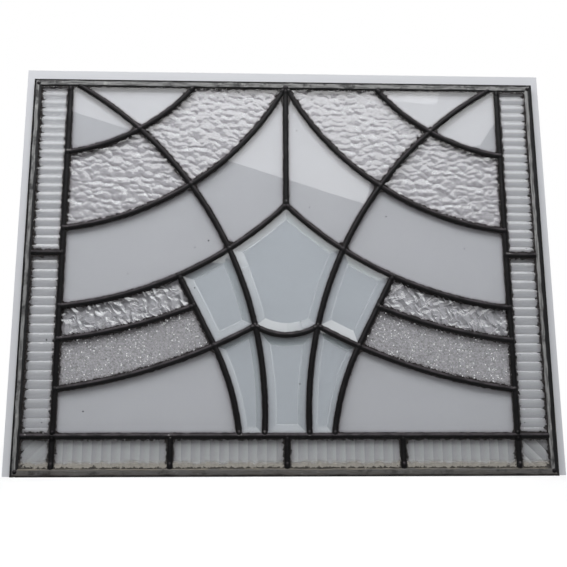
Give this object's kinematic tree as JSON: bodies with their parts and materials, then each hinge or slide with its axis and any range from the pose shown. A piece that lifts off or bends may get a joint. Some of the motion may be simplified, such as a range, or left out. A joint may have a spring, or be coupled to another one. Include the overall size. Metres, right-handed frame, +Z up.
{
  "type": "leaded glass panel",
  "caption": "Upright leaded glass window panel with reeded border panes, sweeping lead lines and a bevelled central shield",
  "frame": {"origin": "middle of the bottom edge, halfway through the thickness", "axes": "X across the panel, Y through its thickness with the front face towards -Y, Z up"},
  "size_m": [0.65, 0.0076, 0.5],
  "materials": {
    "lead": "dull oxidised lead, nearly black",
    "edge_lead": "worn grey oxidised lead with a dark outer edge",
    "solder": "smooth dark solder with small bright spots",
    "putty": "old hardened dark putty",
    "clear_glass": "clear drawn sheet glass",
    "bevelled_glass": "polished bevelled plate glass",
    "reeded_glass": "clear rolled reeded glass",
    "hammered_glass": "clear glass with a bold rippled texture",
    "leaf_pattern_glass": "clear glass rolled with a star-like leaf pattern",
    "stippled_glass": "clear glass with a fine stippled texture"
  },
  "bodies": {
    "root": {"band_sweep_cames": "lead", "bevelled_foot_pane": "bevelled_glass", "bevelled_side_panes": "bevelled_glass", "bevelled_sliver_panes": "bevelled_glass", "border_came_bottom": "lead", "border_came_left": "lead", "border_came_right": "lead", "bottom_divider_cames": "lead", "bottom_row_panes": "reeded_glass", "bowl_came": "lead", "centre_came": "lead", "corner_panes": "reeded_glass", "edge_came_bottom": "edge_lead", "edge_came_left": "edge_lead", "edge_came_right": "edge_lead", "edge_came_top": "edge_lead", "edge_putty": "putty", "foot_panes": "clear_glass", "inner_hammered_panes": "hammered_glass", "kite_panes": "clear_glass", "leaf_pattern_panes": "leaf_pattern_glass", "long_rib_came_left": "lead", "long_rib_came_right": "lead", "lower_sweep_cames": "lead", "middle_sweep_cames": "lead", "outer_hammered_panes": "hammered_glass", "shield_pane": "bevelled_glass", "short_rib_cames": "lead", "side_corner_panes": "clear_glass", "side_divider_cames": "lead", "side_strip_panes": "reeded_glass", "solder_joints_back": "solder", "solder_joints_front": "solder", "stippled_panes": "stippled_glass", "top_corner_panes": "clear_glass", "top_sweep_cames": "lead", "upper_sweep_cames": "lead", "wing_panes": "clear_glass"}
  },
  "joints": []
}
